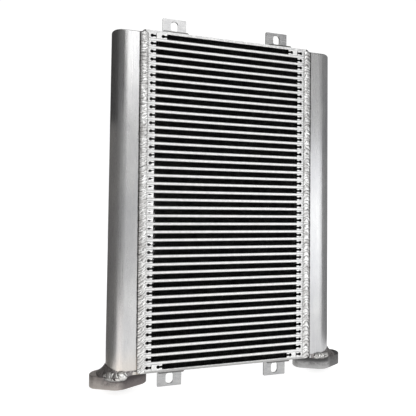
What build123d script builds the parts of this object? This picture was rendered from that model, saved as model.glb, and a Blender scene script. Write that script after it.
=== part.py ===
from build123d import *
import os

# Hydraulic oil cooler with a bar-and-plate core. All sizes are in millimetres.
# The origin is the centre of the core. +X runs from one header tank to the other,
# +Y runs through the core with the air, from the front face to the rear, and +Z is up.

# ---- driving dimensions -------------------------------------------------------------

# core stack
core_half_width = 135.0
core_depth = 38.0
air_rows = 42
oil_rows = air_rows - 1
air_height = 8.0
oil_height = 3.0
parting_sheet = 0.6
side_plate_thickness = 4.0
braze_film = 0.02

# air passages: extruded end bars with a keyhole groove, and corrugated fins
air_bar_width = 16.0
groove_bulb_radius = 2.6
groove_bulb_inset = 10.0
groove_neck_height = 3.1
groove_lip_radius = 1.2
stiffener_gap = 0.8
air_fin_spacing = 5.0
air_fin_sheet = 0.2
fin_end_gap = 0.6
fin_setback = 0.5

# oil passages: solid long bars front and rear, and turbulator fins between them
oil_bar_width = 6.0
oil_fin_spacing = 2.0
oil_fin_sheet = 0.2

# header tanks, D-shaped in plan
tank_round_centre = 165.5
tank_wall = 4.0
tank_top = 255.5
tank_cap_thickness = 5.0
tank_cap_edge_radius = 3.5

# two-bolt port flanges under the tanks
flange_thickness = 18.0
flange_boss_radius = 25.0
flange_end_radius = 13.0
flange_bolt_spacing = 58.0
flange_edge_chamfer = 0.8
bolt_tap_radius = 4.25
bolt_tap_depth = 15.0
port_radius = 12.5
seal_groove_inner = 15.5
seal_groove_width = 3.0
seal_groove_depth = 2.2

# slotted mounting brackets
bracket_centre = 88.0
bracket_width = 38.0
bracket_height = 29.0
bracket_sheet = 3.0
bracket_heel_radius = 5.0
bracket_foot_setback = 2.0
bracket_corner_radius = 1.0
slot_length = 17.5
slot_width = 11.5
slot_height = 17.0

# weld beads
seam_width = 12.5
seam_crown = 1.8
seam_centre = 136.6
top_seam_bulge = 0.62
top_seam_toe = 1.0
flange_weld_leg = 8.0
flange_weld_slope = 42.0
bracket_weld_leg = 3.0
bracket_weld_setback = 1.0
weld_gap = 0.02

# ---- sizes that follow --------------------------------------------------------------

row_pitch = air_height + oil_height + 2 * parting_sheet
stack_height = air_rows * air_height + oil_rows * (oil_height + 2 * parting_sheet)
core_half_height = stack_height / 2 + side_plate_thickness
front = -core_depth / 2
air_bar_height = air_height - 2 * braze_film
oil_bar_height = oil_height - 2 * braze_film
fin_half_length = core_half_width - air_bar_width - fin_end_gap
short_fin_half_length = fin_half_length - air_bar_width - stiffener_gap
tank_radius = core_depth / 2
flange_top = -core_half_height
flange_bottom = flange_top - flange_thickness

air_levels = [(i - (air_rows - 1) / 2) * row_pitch for i in range(air_rows)]
oil_levels = [(i - (oil_rows - 1) / 2) * row_pitch for i in range(oil_rows)]
outer_levels = [air_levels[0], air_levels[-1]]
tolerance = 0.01

SIDES = {"left": -1, "right": 1}
ENDS = {"lower": -1, "upper": 1}

os.makedirs("parts", exist_ok=True)


def save(piece, name):
    """Label a finished piece and write its STEP file."""
    piece.label = name
    export_step(piece, f"parts/{name}.step")


def corrugation(length, height, spacing, sheet):
    """Outline of a V-folded fin strip, centred on the origin, as a closed list of points."""
    folds = 2 * round(length / spacing / 2)
    step = length / folds
    swing = height / 2 - sheet
    line = [(-length / 2 + k * step, swing if k % 2 else -swing) for k in range(folds + 1)]
    upper = [(x, z + sheet) for x, z in line]
    lower = [(x, z - sheet) for x, z in line]
    return upper + lower[::-1]


def keyhole_bar(sign):
    """One air end bar, centred on the origin, with a keyhole groove facing the fins."""
    bulb = sign * (air_bar_width / 2 - groove_bulb_inset)
    mouth = -sign * air_bar_width / 2
    with BuildPart() as bar:
        with BuildSketch(Plane.XZ.offset(front)) as section:
            Rectangle(air_bar_width, air_bar_height)
            with Locations(((bulb + mouth) / 2, 0)):
                Rectangle(abs(bulb - mouth), groove_neck_height, mode=Mode.SUBTRACT)
            with Locations((bulb, 0)):
                Circle(groove_bulb_radius, mode=Mode.SUBTRACT)
            at_mouth = section.vertices().filter_by_position(
                Axis.X, mouth - tolerance, mouth + tolerance
            )
            lips = at_mouth.sort_by(Axis.Y)[1:3]
            fillet(lips, groove_lip_radius)
        extrude(amount=core_depth)
    return bar.part


def tank_outline(sign, inset=0.0):
    """D-shaped plan of a header tank: straight walls from the core, then a half circle."""
    reach = tank_round_centre - core_half_width
    with BuildSketch() as plan:
        with Locations((sign * (core_half_width + reach / 2), 0)):
            Rectangle(reach, 2 * (tank_radius - inset))
        with Locations((sign * tank_round_centre, 0)):
            Circle(tank_radius - inset)
        with Locations((sign * core_half_width / 2, 0)):
            Rectangle(core_half_width, core_depth, mode=Mode.SUBTRACT)
    return plan.sketch


def flange_outline(sign, shrink=0.0):
    """Plan of a two-bolt flange: a round boss drawn out by tangents to two rounded ends."""
    ends = [sign * tank_round_centre + s * flange_bolt_spacing / 2 for s in (-1, 1)]
    with BuildSketch() as plan:
        with Locations((sign * tank_round_centre, 0)):
            Circle(flange_boss_radius - shrink)
        with Locations(*[(x, 0) for x in ends]):
            Circle(flange_end_radius - shrink)
        make_hull()
    return plan.sketch


# ---- core ---------------------------------------------------------------------------

plate_offset = (oil_height + parting_sheet) / 2
with BuildPart() as parting_plates:
    with Locations(*[(0, 0, z + s * plate_offset) for z in oil_levels for s in (-1, 1)]):
        Box(2 * core_half_width, core_depth, parting_sheet)
save(parting_plates.part, "parting_plates")

oil_bar_y = (core_depth - oil_bar_width) / 2
for place, sign in (("front", -1), ("rear", 1)):
    with BuildPart() as oil_bars:
        with Locations(*[(0, sign * oil_bar_y, z) for z in oil_levels]):
            Box(2 * core_half_width, oil_bar_width, oil_bar_height)
    save(oil_bars.part, f"{place}_oil_bars")

turbulator_width = core_depth - 2 * oil_bar_width - 2 * braze_film
with BuildPart() as one_turbulator:
    with BuildSketch(Plane.YZ):
        with BuildLine():
            Polyline(
                *corrugation(turbulator_width, oil_bar_height, oil_fin_spacing, oil_fin_sheet),
                close=True,
            )
        make_face()
    extrude(amount=core_half_width, both=True)
with BuildPart() as oil_fins:
    with Locations(*[(0, 0, z) for z in oil_levels]):
        add(one_turbulator.part)
save(oil_fins.part, "oil_fins")


def fin_strip(half_length):
    """One corrugated air fin strip, centred on the origin, open along Y."""
    with BuildPart() as strip:
        with BuildSketch(Plane.XZ):
            with BuildLine():
                Polyline(
                    *corrugation(2 * half_length, air_bar_height, air_fin_spacing, air_fin_sheet),
                    close=True,
                )
            make_face()
        extrude(amount=core_depth / 2 - fin_setback, both=True)
    return strip.part


with BuildPart() as air_fins:
    with Locations(*[(0, 0, z) for z in air_levels[1:-1]]):
        add(fin_strip(fin_half_length))
    with Locations(*[(0, 0, z) for z in outer_levels]):
        add(fin_strip(short_fin_half_length))
save(air_fins.part, "air_fins")

for side, sign in SIDES.items():
    bar_x = sign * (core_half_width - air_bar_width / 2)
    with BuildPart() as air_bars:
        with Locations(*[(bar_x, 0, z) for z in air_levels]):
            add(keyhole_bar(sign))
    save(air_bars.part, f"{side}_air_bars")

    # the top and bottom air passages carry a second bar beside the first
    inner_x = bar_x - sign * (air_bar_width + stiffener_gap)
    with BuildPart() as stiffener_bars:
        with Locations(*[(inner_x, 0, z) for z in outer_levels]):
            add(keyhole_bar(sign))
    save(stiffener_bars.part, f"{side}_stiffener_bars")

for end, sign in ENDS.items():
    with BuildPart() as side_plate:
        with Locations((0, 0, sign * (core_half_height - side_plate_thickness / 2))):
            Box(2 * core_half_width, core_depth, side_plate_thickness)
    save(side_plate.part, f"{end}_side_plate")

# ---- header tanks and port flanges --------------------------------------------------

shell_top = tank_top - tank_cap_thickness
shell_bottom = flange_top + tank_cap_thickness
for side, sign in SIDES.items():
    port = Location((sign * tank_round_centre, 0))

    with BuildPart() as tank_shell:
        with BuildSketch(Plane.XY.offset(shell_bottom)):
            add(tank_outline(sign))
            add(tank_outline(sign, tank_wall), mode=Mode.SUBTRACT)
        extrude(amount=shell_top - shell_bottom)
    save(tank_shell.part, f"{side}_tank_shell")

    with BuildPart() as top_cap:
        with BuildSketch(Plane.XY.offset(shell_top)):
            add(tank_outline(sign))
        extrude(amount=tank_cap_thickness)
        upper_edges = top_cap.faces().sort_by(Axis.Z)[-1].edges()
        at_core = upper_edges.sort_by(Axis.X)[0 if sign > 0 else -1]
        fillet([e for e in upper_edges if e != at_core], tank_cap_edge_radius)
    save(top_cap.part, f"{side}_tank_top_cap")

    with BuildPart() as bottom_cap:
        with BuildSketch(Plane.XY.offset(flange_top)):
            add(tank_outline(sign))
            with Locations(port):
                Circle(port_radius, mode=Mode.SUBTRACT)
        extrude(amount=tank_cap_thickness)
    save(bottom_cap.part, f"{side}_tank_bottom_cap")

    with BuildPart() as port_flange:
        with BuildSketch(Plane.XY.offset(flange_bottom)):
            add(flange_outline(sign))
        extrude(amount=flange_thickness)
        rims = port_flange.faces().filter_by(Axis.Z).edges()
        chamfer(rims, flange_edge_chamfer)
        with BuildSketch(Plane.XY.offset(flange_bottom)):
            with Locations(port):
                Circle(port_radius)
        extrude(amount=flange_thickness, mode=Mode.SUBTRACT)
        with BuildSketch(Plane.XY.offset(flange_bottom)):
            with Locations(port):
                Circle(seal_groove_inner + seal_groove_width)
                Circle(seal_groove_inner, mode=Mode.SUBTRACT)
        extrude(amount=seal_groove_depth, mode=Mode.SUBTRACT)
        bolts = [sign * tank_round_centre + s * flange_bolt_spacing / 2 for s in (-1, 1)]
        with BuildSketch(Plane.XY.offset(flange_bottom)):
            with Locations(*[(x, 0) for x in bolts]):
                Circle(bolt_tap_radius)
        extrude(amount=bolt_tap_depth, mode=Mode.SUBTRACT)
    save(port_flange.part, f"{side}_port_flange")

# ---- welds that hold the tanks ------------------------------------------------------

cap_step = core_half_height - tank_top
seam_root_y = core_depth / 2 + weld_gap
for side, sign in SIDES.items():
    for place, facing in (("front", -1), ("rear", 1)):
        with BuildPart() as seam_weld:
            with BuildSketch(Plane.XY.offset(flange_top)):
                with BuildLine():
                    near = (sign * seam_centre - seam_width / 2, facing * seam_root_y)
                    far = (sign * seam_centre + seam_width / 2, facing * seam_root_y)
                    crown = (sign * seam_centre, facing * (core_depth / 2 + seam_crown))
                    ThreePointArc(near, crown, far)
                    Line(far, near)
                make_face()
            extrude(amount=core_half_height + tank_top)
        save(seam_weld.part, f"{side}_{place}_seam_weld")

    # the tank's top lies a step below the core's, and this bead fills the step
    with BuildPart() as top_seam_weld:
        with BuildSketch(Plane.XZ):
            with BuildLine():
                root = (sign * (core_half_width + weld_gap), tank_top + weld_gap)
                toe = (sign * (core_half_width + cap_step + top_seam_toe), tank_top + weld_gap)
                head = (sign * (core_half_width + weld_gap), core_half_height)
                bulge = (
                    sign * (core_half_width + cap_step * top_seam_bulge),
                    tank_top + cap_step * top_seam_bulge,
                )
                Line(toe, root)
                Line(root, head)
                ThreePointArc(head, bulge, toe)
            make_face()
        extrude(amount=core_depth / 2 - weld_gap, both=True)
    save(top_seam_weld.part, f"{side}_top_seam_weld")

    # a sloping fillet on the flange, cut to the flange's outline and round the tank
    with BuildPart() as flange_weld:
        with BuildSketch(Plane.XY.offset(flange_top + weld_gap)):
            with Locations((sign * tank_round_centre, 0)):
                Circle(tank_radius + flange_weld_leg)
        extrude(amount=flange_weld_leg, taper=flange_weld_slope)
        with BuildSketch(Plane.XY.offset(flange_top)):
            add(flange_outline(sign, flange_edge_chamfer))
        extrude(amount=2 * flange_weld_leg, mode=Mode.INTERSECT)
        with BuildSketch(Plane.XY.offset(flange_top)):
            with Locations((sign * tank_round_centre, 0)):
                Circle(tank_radius + weld_gap)
            with Locations((sign * (tank_round_centre - tank_radius), 0)):
                Rectangle(2 * tank_radius, 2 * (tank_radius + weld_gap))
        extrude(amount=2 * flange_weld_leg, mode=Mode.SUBTRACT)
    save(flange_weld.part, f"{side}_flange_weld")

# ---- mounting brackets --------------------------------------------------------------

foot_front = front + bracket_foot_setback
leg_rear = bracket_sheet / 2
bracket_weld_length = leg_rear - foot_front - bracket_heel_radius - bracket_weld_setback
for end, up in ENDS.items():
    for side, sign in SIDES.items():
        foot = up * core_half_height
        tip = up * (core_half_height + bracket_height)
        middle = up * (core_half_height + slot_height)
        with BuildPart() as bracket:
            with BuildSketch(Plane.YZ.offset(sign * bracket_centre)) as angle:
                with BuildLine():
                    Polyline(
                        (foot_front, foot),
                        (leg_rear, foot),
                        (leg_rear, tip),
                        (leg_rear - bracket_sheet, tip),
                        (leg_rear - bracket_sheet, foot + up * bracket_sheet),
                        (foot_front, foot + up * bracket_sheet),
                        close=True,
                    )
                make_face()
                heel = angle.vertices().group_by(Axis.X)[-1].sort_by(Axis.Y)[0 if up > 0 else -1]
                fillet(heel, bracket_heel_radius)
            extrude(amount=bracket_width / 2, both=True)
            with BuildSketch(Plane.XZ):
                with Locations((sign * bracket_centre, middle)):
                    SlotOverall(slot_length, slot_width, rotation=90)
            extrude(amount=bracket_sheet, both=True, mode=Mode.SUBTRACT)
            tips = bracket.edges().filter_by(Axis.Y).group_by(Axis.Z)[-1 if up > 0 else 0]
            fillet(tips, bracket_corner_radius)
        save(bracket.part, f"{end}_{side}_bracket")

        # a fillet weld down each side of the foot
        with BuildPart() as bracket_welds:
            toe_z = up * (core_half_height + weld_gap)
            with BuildSketch(Plane.XZ.offset(-foot_front - bracket_weld_setback)):
                for s in (-1, 1):
                    edge = sign * bracket_centre + s * (bracket_width / 2 + weld_gap)
                    with BuildLine():
                        Polyline(
                            (edge, toe_z),
                            (edge + s * bracket_weld_leg, toe_z),
                            (edge, toe_z + up * bracket_weld_leg),
                            close=True,
                        )
                    make_face()
            extrude(amount=-bracket_weld_length)
        save(bracket_welds.part, f"{end}_{side}_bracket_welds")
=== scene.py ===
import math
import random

import bmesh
import bpy
import numpy as np
from mathutils import Matrix, Vector


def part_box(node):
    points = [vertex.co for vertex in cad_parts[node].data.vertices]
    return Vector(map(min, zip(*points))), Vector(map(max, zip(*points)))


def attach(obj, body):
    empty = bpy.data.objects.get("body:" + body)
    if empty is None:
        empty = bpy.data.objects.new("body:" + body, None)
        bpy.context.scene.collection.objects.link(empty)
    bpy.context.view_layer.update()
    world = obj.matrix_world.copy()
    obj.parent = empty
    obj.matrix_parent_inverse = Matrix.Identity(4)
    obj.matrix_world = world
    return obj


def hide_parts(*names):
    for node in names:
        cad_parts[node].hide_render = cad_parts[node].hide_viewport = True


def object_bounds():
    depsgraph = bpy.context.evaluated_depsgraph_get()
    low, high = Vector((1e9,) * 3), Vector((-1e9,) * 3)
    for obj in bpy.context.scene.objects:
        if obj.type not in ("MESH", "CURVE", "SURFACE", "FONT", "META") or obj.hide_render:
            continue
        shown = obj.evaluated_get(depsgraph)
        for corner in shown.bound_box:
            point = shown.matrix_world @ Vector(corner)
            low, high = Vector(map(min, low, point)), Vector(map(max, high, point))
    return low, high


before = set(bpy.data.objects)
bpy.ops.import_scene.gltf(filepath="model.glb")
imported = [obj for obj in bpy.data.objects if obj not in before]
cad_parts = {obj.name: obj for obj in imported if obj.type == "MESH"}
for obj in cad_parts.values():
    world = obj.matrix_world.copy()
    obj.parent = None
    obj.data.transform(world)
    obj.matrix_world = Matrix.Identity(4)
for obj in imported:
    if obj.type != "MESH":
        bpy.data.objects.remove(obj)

# Looks of a bar-and-plate oil cooler, built round its CAD frame. All lengths are in metres.
# The frame's origin is the centre of the core: +X from tank to tank, +Y to the rear, +Z up.

MM = 0.001
UP = np.array((0.0, 0.0, 1.0))
cad_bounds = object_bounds()

# ---- sizes read from the frame ------------------------------------------------------

SIDES = {"left": -1, "right": 1}
FACES = {"front": -1, "rear": 1}
ENDS = {"lower": -1, "upper": 1}

core_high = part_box("parting_plates")[1]
core_half_width = core_high.x
core_half_depth = core_high.y
core_half_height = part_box("upper_side_plate")[1].z
side_plate_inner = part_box("upper_side_plate")[0].z

tank_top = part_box("left_tank_top_cap")[1].z
tank_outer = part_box("right_tank_shell")[1].x
tank_round_centre = tank_outer - core_half_depth

flange_low, flange_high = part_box("right_port_flange")
flange_top = flange_high.z
flange_boss_radius = flange_high.y
flange_end_radius = 13 * MM
flange_bolt_reach = (flange_high.x - flange_low.x) / 2 - flange_end_radius

air_rows = 42
air_bar_low, air_bar_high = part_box("left_air_bars")
air_passage_height = 7.96 * MM
row_pitch = (air_bar_high.z - air_bar_low.z - air_passage_height) / (air_rows - 1)
air_levels = [(i - (air_rows - 1) / 2) * row_pitch for i in range(air_rows)]

bracket_sheet = 3 * MM
foot_top = core_half_height + bracket_sheet

fin_low, fin_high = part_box("air_fins")
stiffener_inner = -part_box("left_stiffener_bars")[1].x
fin_end_gap = 0.6 * MM


# ---- shader helpers -----------------------------------------------------------------

def add_node(tree, kind, inputs=None, **settings):
    """A new node with its properties set, and its inputs set to values or linked to sockets."""
    node = tree.nodes.new(kind)
    for name, value in settings.items():
        setattr(node, name, value)
    for socket, value in (inputs or {}).items():
        if isinstance(value, bpy.types.NodeSocket):
            tree.links.new(value, node.inputs[socket])
        else:
            node.inputs[socket].default_value = value
    return node


def position(tree):
    """The surface point in the object's own frame."""
    return add_node(tree, "ShaderNodeTexCoord").outputs["Object"]


def stretched(tree, vector, scale):
    return add_node(tree, "ShaderNodeMapping", {"Vector": vector, "Scale": scale}).outputs[0]


def noise(tree, vector, size, detail=3.0, roughness=0.55):
    """Smooth noise from 0 to 1 whose lumps are about this size."""
    inputs = {"Vector": vector, "Scale": 1 / size, "Detail": detail, "Roughness": roughness}
    return add_node(tree, "ShaderNodeTexNoise", inputs).outputs[0]


def remap(tree, value, low, high, out_low=0.0, out_high=1.0):
    """value from low..high to out_low..out_high, smooth and clamped at both ends."""
    inputs = {"Value": value, 1: low, 2: high, 3: out_low, 4: out_high}
    return add_node(tree, "ShaderNodeMapRange", inputs, interpolation_type="SMOOTHSTEP").outputs[0]


def maths(tree, operation, a, b=0.0):
    return add_node(tree, "ShaderNodeMath", {0: a, 1: b}, operation=operation).outputs[0]


def blended(tree, factor, a, b):
    """Colour a at factor 0 and colour b at factor 1."""
    node = add_node(tree, "ShaderNodeMix", {0: factor}, data_type="RGBA")
    for socket, value in ((node.inputs[6], a), (node.inputs[7], b)):
        if isinstance(value, bpy.types.NodeSocket):
            tree.links.new(value, socket)
        else:
            socket.default_value = (*value, 1.0)
    return node.outputs[2]


def axes_of(tree, vector):
    return add_node(tree, "ShaderNodeSeparateXYZ", {0: vector}).outputs


def bump(tree, height, distance, before=None):
    inputs = {"Height": height, "Distance": distance}
    if before is not None:
        inputs["Normal"] = before
    return add_node(tree, "ShaderNodeBump", inputs).outputs[0]


def new_material(name, **inputs):
    """A new material: its node tree and its principled shader, with these inputs set."""
    material = bpy.data.materials.new(name)
    material.use_nodes = True
    tree = material.node_tree
    shader = tree.nodes["Principled BSDF"]
    for key, value in inputs.items():
        shader.inputs[key.replace("_", " ")].default_value = value
    return material, tree, shader


def connect(tree, shader, color, roughness, normal):
    tree.links.new(color, shader.inputs["Base Color"])
    tree.links.new(roughness, shader.inputs["Roughness"])
    tree.links.new(normal, shader.inputs["Normal"])


def left_to_right(tree, x, left, right, half_band=100 * MM):
    """One value on the cooler's left part and another on its right, easing over the middle."""
    return remap(tree, x, -half_band, half_band, left, right)


# ---- materials ----------------------------------------------------------------------

# every colour is linear red, green and blue
# painted shade for the inside of the core's passages and grooves
PASSAGE_SHADE = (0.003, 0.003, 0.004)
FIN_BLACK = (0.002, 0.002, 0.003)
# painted highlight, partly dust, for the fins' front and rear edges
FIN_EDGE_GLINT_AND_DUST = (0.11, 0.11, 0.105)
SPATTER = (0.16, 0.155, 0.15)
LOWER_EDGE_GREY = (0.16, 0.155, 0.15)
# soot and painted shade for the band beside the seam beads
SEAM_SOOT_AND_SHADE = (0.035, 0.032, 0.03)
TANK_STAIN = (0.34, 0.33, 0.33)
TANK_PIT = (0.10, 0.09, 0.08)
FOOT_PALE_WARM = (0.72, 0.65, 0.57)
FOOT_RING_DARK = (0.10, 0.09, 0.085)
# painted light for the flange's lower edge and the left flange's outer end
FLANGE_PAINTED_LIGHT = (0.47, 0.43, 0.40)
FLANGE_BURNT = (0.07, 0.058, 0.062)
# painted shade for the flange's top edge under the weld beads
FLANGE_UNDER_BEAD_SHADE = (0.055, 0.048, 0.048)
# painted shade for the brackets' side edges and the feet's front edges
BRACKET_EDGE_SHADE = (0.10, 0.098, 0.095)

# The left seam bead drifts towards the core on its way down, and the right one much less.
SEAM_DRIFT = {"left": 2.9 * MM, "right": 0.6 * MM}
# The soot and painted shade beside the left bead follows it by this much for each metre down,
# and the band beside the right one by this share of that.
SEAM_SHADE_DRIFT = 5.6 * MM
RIGHT_SEAM_SHADE_SHARE = 0.2


def core_metal(name, dark_tone, light_tone):
    """Brazed core metal: bright on the outer faces, and painted shade makes it black inside the
    air passages.
    """
    material, tree, shader = new_material(name, Metallic=0.55)
    place = position(tree)
    x, y, z = axes_of(tree, place)
    patches = noise(tree, place, 5 * MM, 5.0, 0.65)
    specks = noise(tree, place, 0.9 * MM, 3.0, 0.6)
    clean = blended(tree, remap(tree, patches, 0.35, 0.65), dark_tone, light_tone)
    spatter_reach = 14 * MM
    beside_seam = remap(
        tree, maths(tree, "ABSOLUTE", x), core_half_width - spatter_reach, core_half_width
    )
    spatter = maths(tree, "MULTIPLY", remap(tree, specks, 0.5, 0.62), beside_seam)
    spattered = blended(tree, maths(tree, "MULTIPLY", spatter, 0.85), clean, SPATTER)
    flecked = blended(tree, remap(tree, specks, 0.62, 0.72, 0.0, 0.35), spattered, dark_tone)
    # painted shade: every surface deeper than the front and rear faces, inside the passages and
    # grooves, is made nearly black
    depth = maths(tree, "SUBTRACT", core_half_depth, maths(tree, "ABSOLUTE", y))
    inside = remap(tree, depth, 0.15 * MM, 0.8 * MM)
    outer_skin = (core_half_height + side_plate_inner) / 2
    within = remap(tree, maths(tree, "ABSOLUTE", z), outer_skin, outer_skin + 1 * MM, 1.0, 0.0)
    painted_passage_shade = maths(tree, "MULTIPLY", inside, within)
    # darker towards the bottom: the lower half of the bottom side plate and below, in patches
    below = remap(tree, z, -outer_skin, -side_plate_inner, 0.65, 0.0)
    lower_darkening = maths(tree, "MULTIPLY", below, remap(tree, patches, 0.3, 0.6, 0.6, 1.0))
    lower_darkened = blended(tree, lower_darkening, flecked, LOWER_EDGE_GREY)
    color = blended(tree, painted_passage_shade, lower_darkened, PASSAGE_SHADE)
    connect(
        tree, shader, color=color,
        roughness=remap(tree, patches, 0.3, 0.7, 0.42, 0.58),
        normal=bump(tree, specks, 0.06 * MM, bump(tree, patches, 0.25 * MM)),
    )
    return material


def tank_metal():
    """Extruded tank wall: lengthwise brushing, cloudy patches, and soot with painted shade beside
    the welds.
    """
    material, tree, shader = new_material("brushed_tank", Metallic=0.95)
    place = position(tree)
    x, _, z = axes_of(tree, place)
    distance_out = maths(tree, "ABSOLUTE", x)
    lines = noise(tree, stretched(tree, place, (1, 1, 0.012)), 0.8 * MM, 4.0, 0.7)
    clouds = noise(tree, stretched(tree, place, (1, 1, 0.35)), 26 * MM, 4.0, 0.6)
    stains = noise(tree, place, 7 * MM, 5.0, 0.7)
    clean = blended(
        tree, remap(tree, clouds, 0.3, 0.7), (0.50, 0.50, 0.51), (0.62, 0.62, 0.615)
    )
    brushed = blended(tree, remap(tree, lines, 0.35, 0.7, 0.0, 0.18), clean, (0.70, 0.70, 0.70))
    stained = blended(tree, remap(tree, stains, 0.6, 0.78, 0.0, 0.35), brushed, TANK_STAIN)
    pits = noise(tree, stretched(tree, place, (1, 1, 0.5)), 2.2 * MM, 2.0, 0.5)
    pitted = blended(tree, remap(tree, pits, 0.74, 0.80, 0.0, 0.6), stained, TANK_PIT)

    ragged = maths(tree, "MULTIPLY", maths(tree, "SUBTRACT", stains, 0.5), 2.2 * MM)
    # soot at the toe and painted shade: a dark band on the tank beside each seam bead, weaker
    # beside the right one
    drift = maths(tree, "MULTIPLY", maths(tree, "SUBTRACT", tank_top, z), SEAM_SHADE_DRIFT)
    share = left_to_right(tree, x, 1.0, RIGHT_SEAM_SHADE_SHARE, 50 * MM)
    side_drift = maths(tree, "MULTIPLY", drift, share)
    beside_seam = maths(tree, "ADD", maths(tree, "ADD", distance_out, ragged), side_drift)
    seam_edge = core_half_width + 8.2 * MM
    seam_soot_and_shade = remap(tree, beside_seam, seam_edge, seam_edge + 1.5 * MM, 1.0, 0.0)
    seam_shaded = blended(tree, seam_soot_and_shade, pitted, SEAM_SOOT_AND_SHADE)

    # paler and warmer towards the foot of the left tank
    above_flange = maths(tree, "ADD", z, maths(tree, "MULTIPLY", ragged, 6.0))
    near_foot = remap(tree, above_flange, flange_top + 4 * MM, flange_top + 45 * MM, 0.45, 0.0)
    left_foot_warmth = maths(tree, "MULTIPLY", near_foot, left_to_right(tree, x, 1.0, 0.0, 50 * MM))
    foot_warmed = blended(tree, left_foot_warmth, seam_shaded, FOOT_PALE_WARM)

    # a darker ring above the flange fillet, on the curved side only
    ring_level = maths(tree, "ADD", z, maths(tree, "MULTIPLY", ragged, 1.5))
    foot_ring = remap(tree, ring_level, flange_top + 7 * MM, flange_top + 13 * MM, 0.55, 0.0)
    curved = remap(tree, distance_out, tank_round_centre, tank_outer - 8 * MM)
    color = blended(tree, maths(tree, "MULTIPLY", foot_ring, curved), foot_warmed, FOOT_RING_DARK)

    # the flat wall already eases over a little before its round
    ease = tank_round_centre - 6.5 * MM
    easing = remap(tree, distance_out, ease, ease + 14 * MM, 1.0, 0.0)
    rounded = bump(tree, easing, 1.2 * MM)
    connect(
        tree, shader, color=color,
        roughness=remap(tree, lines, 0.25, 0.75, 0.25, 0.33),
        normal=bump(tree, lines, 0.008 * MM, bump(tree, clouds, 0.35 * MM, rounded)),
    )
    return material


def flange_metal():
    """Dull flange stock: dark mottled skin, a painted paler lower edge, and burnt parts."""
    material, tree, shader = new_material("flange_stock", Metallic=0.85)
    place = position(tree)
    x, _, z = axes_of(tree, place)
    flange_bottom = flange_low.z
    blotches = noise(tree, place, 7 * MM, 6.0, 0.7)
    grain = noise(tree, place, 1.2 * MM, 4.0, 0.65)
    skin = blended(
        tree, remap(tree, blotches, 0.38, 0.62), (0.10, 0.085, 0.088), (0.40, 0.37, 0.35)
    )
    grained = blended(tree, remap(tree, grain, 0.35, 0.7, 0.0, 0.45), skin, (0.34, 0.32, 0.31))

    # painted light: paler along the lower edge, as floor bounce light, and at the left flange's
    # outer end
    low = maths(tree, "ADD", z, maths(tree, "MULTIPLY", blotches, 12 * MM))
    floor_bounce_light = remap(tree, low, flange_bottom + 7 * MM, flange_bottom + 16 * MM, 0.75, 0.0)
    left_bolt = -tank_round_centre - flange_bolt_reach
    painted_end_light = remap(tree, x, left_bolt, left_bolt + 14 * MM, 0.5, 0.0)
    painted_lit = blended(tree, maths(tree, "MAXIMUM", floor_bounce_light, painted_end_light), grained, FLANGE_PAINTED_LIGHT)

    # burnt dark towards the core on the left flange and away from it on the right one
    left_start = -tank_round_centre - 4 * MM
    inner_left = remap(tree, x, left_start, left_start + 14 * MM)
    burnt_left = maths(tree, "MULTIPLY", inner_left, left_to_right(tree, x, 1.0, 0.0))
    right_start = tank_round_centre + 8 * MM
    burnt_right = remap(tree, x, right_start, right_start + 10 * MM)
    burnt = maths(tree, "MULTIPLY", maths(tree, "ADD", burnt_left, burnt_right), 0.70)
    darkened = blended(tree, burnt, painted_lit, FLANGE_BURNT)

    # painted shade along the top edge, under the weld beads, most of all near the tank
    ragged_top = maths(tree, "ADD", z, maths(tree, "MULTIPLY", blotches, 9 * MM))
    top_edge = remap(tree, ragged_top, flange_top - 4.5 * MM, flange_top + 1 * MM, 0.0, 0.9)
    bolt_end = tank_round_centre + 6 * MM
    near_tank = remap(
        tree, maths(tree, "ABSOLUTE", x), bolt_end, bolt_end + 12 * MM, 1.0, 0.3
    )
    under_bead_shade = maths(tree, "MULTIPLY", top_edge, near_tank)
    warm_color = blended(tree, under_bead_shade, darkened, FLANGE_UNDER_BEAD_SHADE)

    # the left flange is warm and the right one is a neutral grey
    warmth = left_to_right(tree, x, 1.0, 0.1)
    color = add_node(
        tree, "ShaderNodeHueSaturation", {"Color": warm_color, "Saturation": warmth}
    ).outputs[0]
    connect(
        tree, shader, color=color,
        roughness=remap(tree, blotches, 0.3, 0.7, 0.38, 0.6),
        normal=bump(tree, grain, 0.12 * MM, bump(tree, blotches, 0.8 * MM)),
    )
    return material


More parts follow.
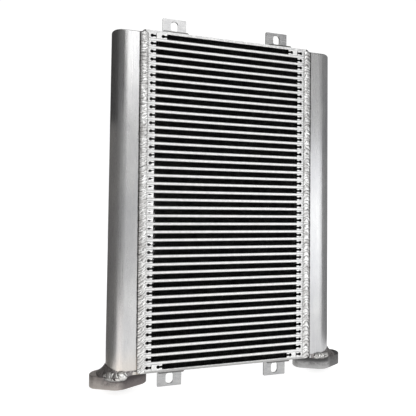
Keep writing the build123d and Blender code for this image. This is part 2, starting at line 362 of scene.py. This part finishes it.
def bracket_metal():
    """Mill-finish sheet with a fine roll grain, and painted shade on its side edges and the foot's
    front edge.
    """
    material, tree, shader = new_material("bracket_sheet", Metallic=0.9)
    place = position(tree)
    roll = noise(tree, stretched(tree, place, (0.05, 1, 1)), 0.6 * MM, 4.0, 0.65)
    clouds = noise(tree, place, 8 * MM, 4.0, 0.6)
    clean = blended(
        tree, remap(tree, clouds, 0.3, 0.7), (0.38, 0.38, 0.385), (0.45, 0.45, 0.45)
    )
    rolled = blended(tree, remap(tree, roll, 0.4, 0.7, 0.0, 0.35), clean, (0.60, 0.60, 0.60))
    # painted shade: faces turned sideways, and the foot's front edge below the plate, are made
    # dark
    normal = add_node(tree, "ShaderNodeNewGeometry").outputs["Normal"]
    facing_x, facing_y, _ = axes_of(tree, normal)
    painted_side_shade = remap(tree, maths(tree, "ABSOLUTE", facing_x), 0.7, 0.95)
    height = maths(tree, "ABSOLUTE", axes_of(tree, place)[2])
    at_foot = remap(tree, height, foot_top - 0.1 * MM, foot_top + 0.3 * MM, 1.0, 0.0)
    painted_foot_shadow = maths(tree, "MULTIPLY", at_foot, remap(tree, facing_y, -0.9, -0.7, 1.0, 0.0))
    painted_edge_shade = maths(tree, "MULTIPLY", maths(tree, "MAXIMUM", painted_side_shade, painted_foot_shadow), 0.85)
    color = blended(tree, painted_edge_shade, rolled, BRACKET_EDGE_SHADE)
    connect(
        tree, shader, color=color,
        roughness=remap(tree, roll, 0.3, 0.7, 0.24, 0.36),
        normal=bump(tree, roll, 0.03 * MM, bump(tree, clouds, 0.15 * MM)),
    )
    return material


def weld_metal(name, soot_and_shade_tone, dull_tone, crest_tone):
    """Weld bead metal: silver on each scale's crest, and soot with painted shade in the valleys
    between and along the toes.
    """
    material, tree, shader = new_material(name, Metallic=0.9)
    place = position(tree)
    valley = add_node(tree, "ShaderNodeAttribute", attribute_name="valley").outputs["Fac"]
    specks = noise(tree, place, 1.1 * MM, 4.0, 0.65)
    patches = noise(tree, place, 9 * MM, 4.0, 0.65)
    smuts = noise(tree, place, 2.2 * MM, 5.0, 0.75)
    crest = blended(tree, remap(tree, patches, 0.35, 0.68), crest_tone, dull_tone)
    smutty = blended(tree, remap(tree, smuts, 0.57, 0.64, 0.0, 0.85), crest, soot_and_shade_tone)
    # soot and painted shade: darkened in the valleys between scales and along the toes
    valley_soot_and_shade = maths(tree, "MULTIPLY", valley, remap(tree, specks, 0.3, 0.6, 0.75, 1.0))
    color = blended(tree, valley_soot_and_shade, smutty, soot_and_shade_tone)
    connect(
        tree, shader, color=color,
        roughness=remap(tree, patches, 0.3, 0.7, 0.24, 0.42),
        normal=bump(tree, specks, 0.08 * MM),
    )
    return material


def fin_metal():
    """Blackened air fins, with painted glints and a trace of dust on their front and rear edges.
    """
    material, tree, shader = new_material("dark_fin", Specular_IOR_Level=0.08)
    place = position(tree)
    speckle = noise(tree, place, 2.4 * MM, 5.0, 0.75)
    depth = maths(tree, "ABSOLUTE", axes_of(tree, place)[1])
    # painted highlight: brighter specks along the fins' front and rear edges, partly dust
    edge = remap(tree, depth, fin_high.y - 0.8 * MM, fin_high.y - 0.1 * MM)
    glint_and_dust = maths(tree, "MULTIPLY", edge, remap(tree, speckle, 0.46, 0.70))
    color = blended(tree, glint_and_dust, FIN_BLACK, FIN_EDGE_GLINT_AND_DUST)
    connect(
        tree, shader, color=color,
        roughness=remap(tree, speckle, 0.3, 0.7, 0.4, 0.6),
        normal=bump(tree, speckle, 0.05 * MM),
    )
    return material


sheet_material = core_metal("brazed_sheet", (0.27, 0.27, 0.27), (0.38, 0.38, 0.375))
plate_material = core_metal("brazed_plate", (0.62, 0.62, 0.62), (0.90, 0.90, 0.89))
bar_material = core_metal("brazed_bar", (0.76, 0.76, 0.76), (0.89, 0.89, 0.88))
tank_material = tank_metal()
flange_material = flange_metal()
bracket_material = bracket_metal()
seam_material = weld_metal(
    "seam_bead", (0.02, 0.018, 0.017), (0.56, 0.55, 0.54), (0.93, 0.93, 0.92)
)
fillet_material = weld_metal(
    "flange_fillet", (0.10, 0.09, 0.09), (0.27, 0.25, 0.25), (0.42, 0.40, 0.39)
)
silver_material = weld_metal(
    "silver_bead", (0.03, 0.027, 0.027), (0.62, 0.61, 0.59), (0.92, 0.91, 0.89)
)
fin_material = fin_metal()

CAD_MATERIALS = {
    "parting_plates": sheet_material,
    "side_plate": plate_material,
    "oil_bars": bar_material,
    "air_bars": bar_material,
    "stiffener_bars": bar_material,
    "oil_fins": plate_material,
    "tank_shell": tank_material,
    "cap": tank_material,
    "port_flange": flange_material,
    "bracket": bracket_material,
}
for node_name, node_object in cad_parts.items():
    for ending, finish in CAD_MATERIALS.items():
        if node_name.endswith(ending):
            node_object.data.materials.clear()
            node_object.data.materials.append(finish)


# ---- mesh helpers -------------------------------------------------------------------

def make_piece(name, points, faces, material, nodes, valley=None, smooth=True):
    """A mesh piece that rides on the one body and stands for the CAD nodes named."""
    mesh = bpy.data.meshes.new(name)
    mesh.from_pydata(points.tolist(), [], faces)
    shell = bmesh.new()
    shell.from_mesh(mesh)
    bmesh.ops.recalc_face_normals(shell, faces=shell.faces)
    shell.to_mesh(mesh)
    shell.free()
    mesh.polygons.foreach_set("use_smooth", [smooth] * len(mesh.polygons))
    mesh.materials.append(material)
    if valley is not None:
        layer = mesh.attributes.new("valley", "FLOAT", "POINT")
        layer.data.foreach_set("value", valley)
    piece = bpy.data.objects.new(name, mesh)
    bpy.context.scene.collection.objects.link(piece)
    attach(piece, "root")
    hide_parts(*nodes)


BEAD_COLUMNS = 18
WOBBLE_WAVES = (1.7, 2.9, 5.3)  # in pitches
SCALE_SKEW = 0.8
SCALE_FLATNESS = 2.4
VALLEY_SHARPNESS = 4.5
# how much a scale's own lift changes its crown, its ripple and its width, and how much
# wider the bead is at a scale's middle
LIFT_ON_CROWN = 0.15
LIFT_ON_RIPPLE = 0.5
LIFT_ON_WIDTH = 0.04
MIDDLE_SWELL = 0.10
RIPPLE_FADE = 0.35  # the power of the dome by which ripples fade at the toes


def scales(along, across, pitch, arch, lean, seed, unevenness, wobble):
    """How far through its overlapping weld scale each point is, 0 to 1, and the scale's lift.

    The scales' fronts are arched and leaning lines across the bead, a little uneven."""
    rng = random.Random(seed)
    length = float(along.max()) + 4 * pitch
    edges = [-3 * pitch]
    while edges[-1] < length:
        edges.append(edges[-1] + pitch * rng.uniform(1 - unevenness, 1 + unevenness))
    skewed = along + pitch * (arch * across**2 + lean * across)
    for wave in WOBBLE_WAVES:
        phase = rng.uniform(0, 2 * math.pi)
        tilt = rng.uniform(-2, 2)
        turn = along * 2 * math.pi / (wave * pitch) + phase + tilt * across
        skewed = skewed + pitch * wobble * np.sin(turn)
    number = np.clip(np.searchsorted(edges, skewed) - 1, 0, len(edges) - 2)
    start = np.array(edges)[number]
    width = np.array(edges)[number + 1] - start
    lifts = np.array([rng.uniform(-1, 1) for _ in edges])
    return (skewed - start) / width, lifts[number]


def bead(
    toe_a, toe_b, root, out, crown, ripple, pitch, arch, lean, seed, ends=0.0,
    unevenness=0.25, wobble=0.1, edge_sharpness=9.0, far_edge=1.0,
):
    """A weld bead between two toe lines: points, faces, and how deep in a valley each point is.

    The rows of the arrays follow the bead. crown is one height, or one for each row, and
    ends is the length over which both ends taper. edge_sharpness is how narrow the soot and
    painted shade along both toes is, and far_edge is how dark toe_b's edge is."""
    rows, columns = len(toe_a), BEAD_COLUMNS
    steps = np.linalg.norm(np.diff((toe_a + toe_b) / 2, axis=0), axis=1)
    along = np.concatenate(([0.0], np.cumsum(steps)))[:, None]
    u = np.linspace(0, 1, columns)[None, :]
    across = 2 * u - 1
    through, lift = scales(
        along + 0 * u, across + 0 * along, pitch, arch, lean, seed, unevenness, wobble
    )
    from_crest = np.abs(2 * through**SCALE_SKEW - 1)
    hump = 1 - from_crest**SCALE_FLATNESS
    dome = 1 - across**2
    taper = np.ones_like(along)
    if ends:
        near = np.minimum(along, along[-1] - along) / ends
        taper = np.sqrt(1 - (1 - np.clip(near, 0.02, 1)) ** 2)
    crown_height = np.reshape(crown, (-1, 1)) * dome * (1 + LIFT_ON_CROWN * lift)
    height = crown_height + ripple * (hump + LIFT_ON_RIPPLE * lift) * dome**RIPPLE_FADE
    swell = 1 + MIDDLE_SWELL * (hump - 0.5) + LIFT_ON_WIDTH * lift
    middle = (toe_a + toe_b)[:, None, :] / 2
    half = (toe_b - toe_a)[:, None, :] / 2
    skin = middle + half * (across * swell * taper)[:, :, None]
    skin = skin + out[:, None, :] * (height * taper)[:, :, None]
    points = np.concatenate((skin, root[:, None, :]), axis=1)
    ring = columns + 1
    faces = []
    for i in range(rows - 1):
        for j in range(ring):
            k = (j + 1) % ring
            faces.append((i * ring + j, i * ring + k, (i + 1) * ring + k, (i + 1) * ring + j))
    faces.append(tuple(range(ring))[::-1])
    faces.append(tuple((rows - 1) * ring + j for j in range(ring)))
    # soot and painted shade along the toes, lighter at toe_b's edge
    toe_soot_and_shade = np.abs(across) ** edge_sharpness * np.where(across > 0, far_edge, 1.0)
    depth = np.maximum(from_crest**VALLEY_SHARPNESS, toe_soot_and_shade)
    valley = np.concatenate((depth, np.ones((rows, 1))), axis=1)
    return points.reshape(-1, 3), faces, valley.ravel()


def line_of(start, end, step):
    """Evenly spaced points from start to end."""
    start = np.array(start, float)
    end = np.array(end, float)
    count = max(2, round(np.linalg.norm(end - start) / step) + 1)
    return start + (end - start) * np.linspace(0, 1, count)[:, None]


# ---- welds --------------------------------------------------------------------------

SEAM_HALF_WIDTH = 6.0 * MM
SEAM_CENTRE = core_half_width + 1.6 * MM
BEAD_STEP = 0.55 * MM
BRACKET_BEAD_STEP = 0.35 * MM
SUNK = 0.3 * MM
# each seam's scales: how arched they are, how they lean at the bottom, and their pitch
SEAM_SCALES = {
    "left": (-0.25, -1.0, 4.6 * MM),
    "right": (0.6, 0.1, 5.5 * MM),
}
SEAM_TOP_LEAN = -0.05
# each flange's heavy front bead: where it starts and ends, from the start of the tank's
# curve, how far it climbs the tank's wall, and how far it spreads over the flange
SILVER_RUNS = {
    "left": (-13 * MM, 19 * MM, 5.6 * MM, 11.5 * MM),
    "right": (-15 * MM, 11 * MM, 7.0 * MM, 5.5 * MM),
}


def seam_weld(side, sign, face, facing):
    """The long bead that joins a tank's front or rear wall to the core's end."""
    flange_clearance = 0.5 * MM
    bottom = flange_top + flange_clearance
    y = facing * core_half_depth
    tank_x = sign * (SEAM_CENTRE + SEAM_HALF_WIDTH)
    low_tank_x = tank_x - sign * SEAM_DRIFT[side]
    tank_toe = line_of((low_tank_x, y, bottom), (tank_x, y, tank_top), BEAD_STEP)
    core_toe = tank_toe.copy()
    core_toe[:, 0] -= sign * 2 * SEAM_HALF_WIDTH
    root = (tank_toe + core_toe) / 2
    root[:, 1] = y - facing * SUNK
    out = np.tile((0.0, facing, 0.0), (len(root), 1))
    arch, low_lean, pitch = SEAM_SCALES[side]
    lean = np.linspace(low_lean, SEAM_TOP_LEAN, len(root))[:, None]
    points, faces, valley = bead(
        tank_toe, core_toe, root, out, crown=0.85 * MM, ripple=0.62 * MM, pitch=pitch,
        arch=arch, lean=lean, seed=f"{side} {face} seam", ends=3 * MM,
        unevenness=0.35, wobble=0.14, far_edge=0.3,
    )
    node = f"{side}_{face}_seam_weld"
    make_piece(f"{node}_bead", points, faces, seam_material, [node], valley)


def top_seam_weld(side, sign):
    """The bead in the step between the core's top and the lower tank top."""
    cap_overlap = 1.5 * MM
    core_overlap = 0.8 * MM
    low = sign * core_half_width
    cap_toe_x = low + sign * (core_half_height - tank_top + cap_overlap)
    cap_toe = line_of(
        (cap_toe_x, -core_half_depth, tank_top), (cap_toe_x, core_half_depth, tank_top), BEAD_STEP
    )
    core_toe = cap_toe.copy()
    core_toe[:, 0] = low - sign * core_overlap
    core_toe[:, 2] = core_half_height
    root = cap_toe.copy()
    root[:, 0] = low
    root[:, 2] = tank_top
    out = np.tile(np.array((sign, 0.0, 1.0)) / math.sqrt(2), (len(root), 1))
    points, faces, valley = bead(
        cap_toe, core_toe, root, out, crown=0.7 * MM, ripple=0.45 * MM, pitch=5.2 * MM,
        arch=0.4, lean=0.1, seed=f"{side} top seam",
    )
    node = f"{side}_top_seam_weld"
    make_piece(f"{node}_bead", points, faces, seam_material, [node], valley)


def flange_half_width(x):
    """Half the flange's depth at a distance x from its middle."""
    x = abs(x)
    tilt = (flange_boss_radius - flange_end_radius) / flange_bolt_reach
    if x <= flange_boss_radius * tilt:
        return math.sqrt(flange_boss_radius**2 - x**2)
    if x <= flange_bolt_reach + flange_end_radius * tilt:
        return (flange_boss_radius - x * tilt) / math.sqrt(1 - tilt**2)
    return math.sqrt(max(flange_end_radius**2 - (x - flange_bolt_reach) ** 2, 0.0))


def reach_on_flange(x, y, normal):
    """How far the flange's top runs on past a wall point, along the wall's normal."""
    far = 0.0
    step = 0.1 * MM
    while abs(y + normal[1] * far) < flange_half_width(x + normal[0] * far):
        far += step
    if far > 0:
        return far
    return flange_half_width(x) - abs(y)


def tank_foot(s):
    """A point on the tank's outline and its outward normal, s along it from the core's front.

    The point is measured from the tank's round centre, with +X away from the core."""
    radius = core_half_depth
    straight = tank_round_centre - core_half_width
    turn = math.pi * radius
    if s < straight:
        return s - straight, -radius, 0.0, -1.0
    if s < straight + turn:
        angle = (s - straight) / radius - math.pi / 2
        return radius * math.cos(angle), radius * math.sin(angle), math.cos(angle), math.sin(angle)
    return straight + turn - s, radius, 0.0, 1.0


def foot_bead(sign, stations, climb, spread, drape, crown, outer_crown, **shape):
    """A bead round the tank's foot: it climbs the wall, spreads on the flange and drapes over.

    climb and spread are functions of how far a station faces away from the core, 0 to 1.
    The bead's height goes from crown in front to outer_crown on the tank's outer side."""
    off_wall = 0.1 * MM
    past_edge = 0.3 * MM
    uppers, lowers, roots, outs, crowns = [], [], [], [], []
    for s in stations:
        x, y, nx, ny = tank_foot(s)
        outward = max(nx, 0.0)
        reach = min(reach_on_flange(x, y, (nx, ny)), spread(outward))
        drop = min(spread(outward) - reach, drape)
        normal = np.array((nx, ny, 0.0))
        foot = np.array((x, y, flange_top))
        lean = normal + UP
        uppers.append(foot + UP * climb(outward) + normal * off_wall)
        lowers.append(foot + normal * (reach + past_edge) - UP * drop)
        roots.append(foot - normal * SUNK)
        outs.append(lean / np.linalg.norm(lean))
        crowns.append(crown * (1 - outward) + outer_crown * outward)
    upper, lower, root, out = (np.array(r) for r in (uppers, lowers, roots, outs))
    for r in (upper, lower, root):
        r[:, 0] = sign * (r[:, 0] + tank_round_centre)
    out[:, 0] *= sign
    return bead(upper, lower, root, out, crown=np.array(crowns), **shape)


def flange_weld(side, sign):
    """The fillet round a tank's foot, with a heavy silver bead laid over it in front."""
    straight = tank_round_centre - core_half_width
    total = 2 * straight + math.pi * core_half_depth
    node = f"{side}_flange_weld"
    points, faces, valley = foot_bead(
        sign, np.linspace(0, total, round(total / BEAD_STEP)),
        climb=lambda outward: (6.2 + 8.3 * outward) * MM,
        spread=lambda outward: (7.0 + 6.0 * outward) * MM,
        drape=0.5 * MM, crown=-0.2 * MM, outer_crown=-2.0 * MM, ripple=0.35 * MM,
        pitch=4.5 * MM, arch=0.4, lean=0.3, seed=f"{side} fillet", ends=2 * MM, wobble=0.25,
    )
    make_piece(f"{node}_fillet", points, faces, fillet_material, [node], valley)
    start, end, climb, spread = SILVER_RUNS[side]
    points, faces, valley = foot_bead(
        sign, np.arange(straight + start, straight + end, BEAD_STEP),
        climb=lambda outward: climb,
        spread=lambda outward: spread,
        drape=5.5 * MM, crown=1.9 * MM, outer_crown=1.0 * MM, ripple=1.6 * MM,
        pitch=5.8 * MM, arch=0.35, lean=0.5, seed=f"{side} silver", ends=7 * MM,
        unevenness=0.45, wobble=0.2, edge_sharpness=3.5,
    )
    make_piece(f"{node}_bead", points, faces, silver_material, [node], valley)


def bracket_welds(end, side):
    """A short fillet bead down each side of a bracket's foot."""
    node = f"{end}_{side}_bracket_welds"
    low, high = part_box(node)
    up = ENDS[end]
    plate_z = up * core_half_height
    leg = abs(high.z - low.z)
    bracket_low, bracket_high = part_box(f"{end}_{side}_bracket")
    all_points, all_faces, all_valley = [], [], []
    for edge, away in ((bracket_low.x, -1), (bracket_high.x, 1)):
        toe_x = edge + away * leg
        plate_toe = line_of(
            (toe_x, low.y, plate_z), (toe_x, high.y, plate_z), BRACKET_BEAD_STEP
        )
        foot_toe = plate_toe.copy()
        foot_toe[:, 0] = edge
        foot_toe[:, 2] = plate_z + up * leg
        root = plate_toe.copy()
        root[:, 0] = edge
        out = np.tile(np.array((away, 0.0, up)) / math.sqrt(2), (len(root), 1))
        points, faces, valley = bead(
            plate_toe, foot_toe, root, out, crown=0.35 * MM, ripple=0.3 * MM, pitch=2.3 * MM,
            arch=0.4, lean=0.1, seed=f"{node} {away}", ends=1.5 * MM,
        )
        start = sum(len(p) for p in all_points)
        all_points.append(points)
        all_faces += [tuple(start + i for i in face) for face in faces]
        all_valley.append(valley)
    make_piece(
        f"{node}_beads", np.concatenate(all_points), all_faces, seam_material, [node],
        np.concatenate(all_valley),
    )


for side, sign in SIDES.items():
    for face, facing in FACES.items():
        seam_weld(side, sign, face, facing)
    top_seam_weld(side, sign)
    flange_weld(side, sign)
    for end in ENDS:
        bracket_welds(end, side)


# ---- air fins -----------------------------------------------------------------------

FIN_SPACING = 1.7 * MM
FIN_SHEET = 0.2 * MM
FIN_LEAN = 0.25 * MM
LANCES = 4
FIN_BANKS = 6


def fin_profile(half_length, shift):
    """Trapezoid wave in x and z: flat crests joined by steep walls."""
    top = air_passage_height / 2 - FIN_SHEET
    count = int(2 * half_length / FIN_SPACING)
    start = -count * FIN_SPACING / 2 + shift
    line = []
    for k in range(count):
        z = top if k % 2 else -top
        line.append((start + k * FIN_SPACING + FIN_LEAN, z))
        line.append((start + (k + 1) * FIN_SPACING - FIN_LEAN, z))
    return np.array(line)


def fin_strip(half_length, level, y_low, y_high, shift):
    """One lanced strip of folded sheet, closed all round."""
    line = fin_profile(half_length, shift)
    tangent = np.gradient(line, axis=0)
    normal = np.stack((-tangent[:, 1], tangent[:, 0]), axis=1)
    normal /= np.linalg.norm(normal, axis=1)[:, None]
    count = len(line)
    points = []
    for y in (y_low, y_high):
        for offset in (-FIN_SHEET / 2, FIN_SHEET / 2):
            edge = line + normal * offset
            points.append(np.stack((edge[:, 0], np.full(count, y), edge[:, 1] + level), axis=1))
    faces = []
    for i in range(count - 1):
        a, b, c, d = i, count + i, 2 * count + i, 3 * count + i
        faces.append((a, a + 1, b + 1, b))
        faces.append((c, d, d + 1, c + 1))
        faces.append((a, c, c + 1, a + 1))
        faces.append((b, b + 1, d + 1, d))
    last = count - 1
    faces.append((0, count, 3 * count, 2 * count))
    faces.append((last, 2 * count + last, 3 * count + last, count + last))
    return np.concatenate(points), faces


def air_fin_bank(number, levels):
    """The folded fins of several air passages, each lanced into offset strips."""
    all_points, all_faces = [], []
    depth = (fin_high.y - fin_low.y) / LANCES
    for level in levels:
        outermost = level in (air_levels[0], air_levels[-1])
        half_length = stiffener_inner - fin_end_gap if outermost else fin_high.x
        for lance in range(LANCES):
            y = fin_low.y + lance * depth
            shift = FIN_SPACING / 4 * (1 if lance % 2 else -1)
            points, faces = fin_strip(half_length - FIN_SPACING, level, y, y + depth, shift)
            start = sum(len(p) for p in all_points)
            all_points.append(points)
            all_faces += [tuple(start + i for i in face) for face in faces]
    make_piece(
        f"air_fin_bank_{number}", np.concatenate(all_points), all_faces, fin_material,
        ["air_fins"], smooth=False,
    )


bank_size = math.ceil(air_rows / FIN_BANKS)
for bank in range(FIN_BANKS):
    air_fin_bank(bank + 1, air_levels[bank * bank_size:(bank + 1) * bank_size])


# ---- studio -------------------------------------------------------------------------

WHITE = (1.0, 1.0, 1.0)
WARM = (1.0, 0.96, 0.93)
COOL = (0.975, 0.985, 1.0)

FLOOR_HALF_SIZE = 8.0
FLOOR_GREY = 0.5
FLOOR_GLOW = 0.8
CARD_LIFT = 1 * MM


def stage_sheet(name, corners, grey, glow, tint=WHITE):
    """A flat studio sheet with a base grey and a glow of its own: the floor, or a card."""
    mesh = bpy.data.meshes.new(name)
    mesh.from_pydata(corners, [], [(0, 1, 2, 3)])
    material = new_material(
        name, Base_Color=(grey, grey, grey, 1), Roughness=0.9, Specular_IOR_Level=0.0,
        Emission_Color=(*tint, 1), Emission_Strength=glow,
    )[0]
    mesh.materials.append(material)
    sheet = bpy.data.objects.new(name, mesh)
    bpy.context.scene.collection.objects.link(sheet)
    return sheet


def studio_floor():
    """A plain pale floor under the lowest point of the cooler."""
    size = FLOOR_HALF_SIZE
    z = cad_bounds[0][2]
    corners = [(-size, -size, z), (size, -size, z), (size, size, z), (-size, size, z)]
    stage_sheet("floor", corners, FLOOR_GREY, FLOOR_GLOW)


def only_reflected(sheet):
    """Hides a sheet from everything but mirror-like reflections."""
    sheet.visible_camera = False
    sheet.visible_diffuse = False
    sheet.visible_shadow = False
    sheet.visible_transmission = False


def reflection_card(name, start, end, top, level, tint=WHITE):
    """A tall card on the floor that shows only in reflections, as a studio flag does.

    start and end are the two ends of its foot, in x and y."""
    low = cad_bounds[0][2] + CARD_LIFT
    corners = [(*start, low), (*end, low), (*end, top), (*start, top)]
    only_reflected(stage_sheet(name, corners, 0.0, level, tint))


def floor_glow(name, near, far, level, tint=WHITE):
    """A bright patch lying on the floor that shows only in reflections.

    near and far each hold the two ends of one edge, in x and y."""
    low = cad_bounds[0][2] + CARD_LIFT
    corners = [(*near[0], low), (*near[1], low), (*far[1], low), (*far[0], low)]
    only_reflected(stage_sheet(name, corners, 0.0, level, tint))


def smooth_band(tree, value, centre, half, soft):
    """1 where value is within half of centre, falling to 0 over a soft edge; bearings wrap."""
    offset = maths(tree, "SUBTRACT", value, centre)
    wrapped = add_node(tree, "ShaderNodeMath", {0: offset, 1: 180.0, 2: -180.0}, operation="WRAP")
    away = maths(tree, "ABSOLUTE", wrapped.outputs[0])
    return remap(tree, away, half - soft, half + soft, 1.0, 0.0)


# Soft panels of light in the surroundings, seen in reflections above the floor's horizon.
# Each has its bearing from straight in front of the cooler, positive to its right, and its
# rise above the horizon, both as centre and half size in degrees, then how soft its edge
# is, in degrees, and how bright it is.
PANELS = [
    (6, 12, 40, 25, 4, 2.5),
    (33, 17, 36, 25, 5, 0.17),
    (31, 13, 13, 5, 4, 0.55),
    (-90, 60, 0, 9, 5, 0.15),
    (170, 32, 20, 35, 8, 0.75),
    (0, 180, 90, 35, 8, 0.6),
]
ROOM_LEVEL = 0.12
BACKDROP_LEVEL = 1.05


def studio_world():
    """White backdrop, and soft panels of light that only the cooler sees."""
    world = bpy.data.worlds.new("studio")
    bpy.context.scene.world = world
    world.use_nodes = True
    tree = world.node_tree
    background = tree.nodes["Background"]
    background.inputs["Color"].default_value = (1, 1, 1, 1)
    direction = add_node(tree, "ShaderNodeTexCoord").outputs["Generated"]
    x, y, z = axes_of(tree, direction)
    turn = maths(tree, "ARCTAN2", x, maths(tree, "MULTIPLY", y, -1.0))
    bearing = maths(tree, "DEGREES", turn)
    rise = maths(tree, "DEGREES", maths(tree, "ARCSINE", z))
    light = maths(tree, "ADD", ROOM_LEVEL)
    for turn_centre, turn_half, rise_centre, rise_half, soft, level in PANELS:
        wide = smooth_band(tree, bearing, turn_centre, turn_half, soft)
        tall = smooth_band(tree, rise, rise_centre, rise_half, soft)
        panel = maths(tree, "MULTIPLY", maths(tree, "MULTIPLY", wide, tall), level)
        light = maths(tree, "ADD", light, panel)
    seen = add_node(tree, "ShaderNodeLightPath").outputs["Is Camera Ray"]
    strength = add_node(tree, "ShaderNodeMix", {0: seen, 2: light, 3: BACKDROP_LEVEL}).outputs[0]
    tree.links.new(strength, background.inputs["Strength"])


def softbox(name, place, aim, width, height, power):
    """A rectangular area light at place, facing aim."""
    data = bpy.data.lights.new(name, "AREA")
    data.shape = "RECTANGLE"
    data.size = width
    data.size_y = height
    data.energy = power
    lamp = bpy.data.objects.new(name, data)
    lamp.location = place
    lamp.rotation_euler = (Vector(aim) - Vector(place)).to_track_quat("-Z", "Y").to_euler()
    lamp.visible_camera = False
    lamp.visible_glossy = False
    bpy.context.scene.collection.objects.link(lamp)


def camera():
    """Looks a little up and to the right at the cooler from its front left."""
    data = bpy.data.cameras.new("camera")
    image_width = 416
    focal_length_in_widths = 400 / image_width
    data.sensor_width = 36.0
    data.lens = data.sensor_width * focal_length_in_widths
    data.shift_y = -13.4 / image_width
    view = bpy.data.objects.new("camera", data)
    place = (-0.1973, -0.6219, -0.0107)
    yaw, pitch, roll = (math.radians(a) for a in (-15.14, 1.82, 0.68))
    aim = Matrix.Rotation(yaw, 4, "Z") @ Matrix.Rotation(math.pi / 2 + pitch, 4, "X")
    view.matrix_world = Matrix.Translation(place) @ aim @ Matrix.Rotation(roll, 4, "Z")
    bpy.context.scene.collection.objects.link(view)
    bpy.context.scene.camera = view


# The cards shape what the tanks' flat fronts and curved sides reflect below the horizon.
studio_floor()
reflection_card("left_flag", (-0.25, -0.14), (-0.25, 1.2), 0.13, 0.15, WARM)
reflection_card("left_upper_flag", (-0.251, -0.09), (-0.251, 1.2), 0.6, 0.03, WARM)
reflection_card("left_dim_card", (-0.199, -0.574), (-0.509, -0.458), 0.26, 0.32)
reflection_card("right_flag", (0.32, -0.17), (0.32, 1.2), 0.6, 0.25, COOL)
reflection_card("left_grey_card", (-0.32, -0.9), (0.16, -0.9), 0.23, 0.76)
reflection_card("right_white_card", (0.34, -0.78), (0.74, -0.52), 0.20, 1.8, COOL)
floor_glow(
    "left_floor_glow", near=((-0.172, -0.05), (-0.19, -0.05)),
    far=((-0.195, -0.55), (-0.43, -0.48)), level=1.5, tint=WARM,
)
studio_world()
softbox("key", (0.2, -2.2, 1.0), (0, 0, 0), 1.4, 1.2, 16)
softbox("back", (-0.4, 2.2, 1.2), (0, 0, 0), 1.4, 1.2, 14)
camera()
bpy.context.scene.view_settings.view_transform = "Standard"
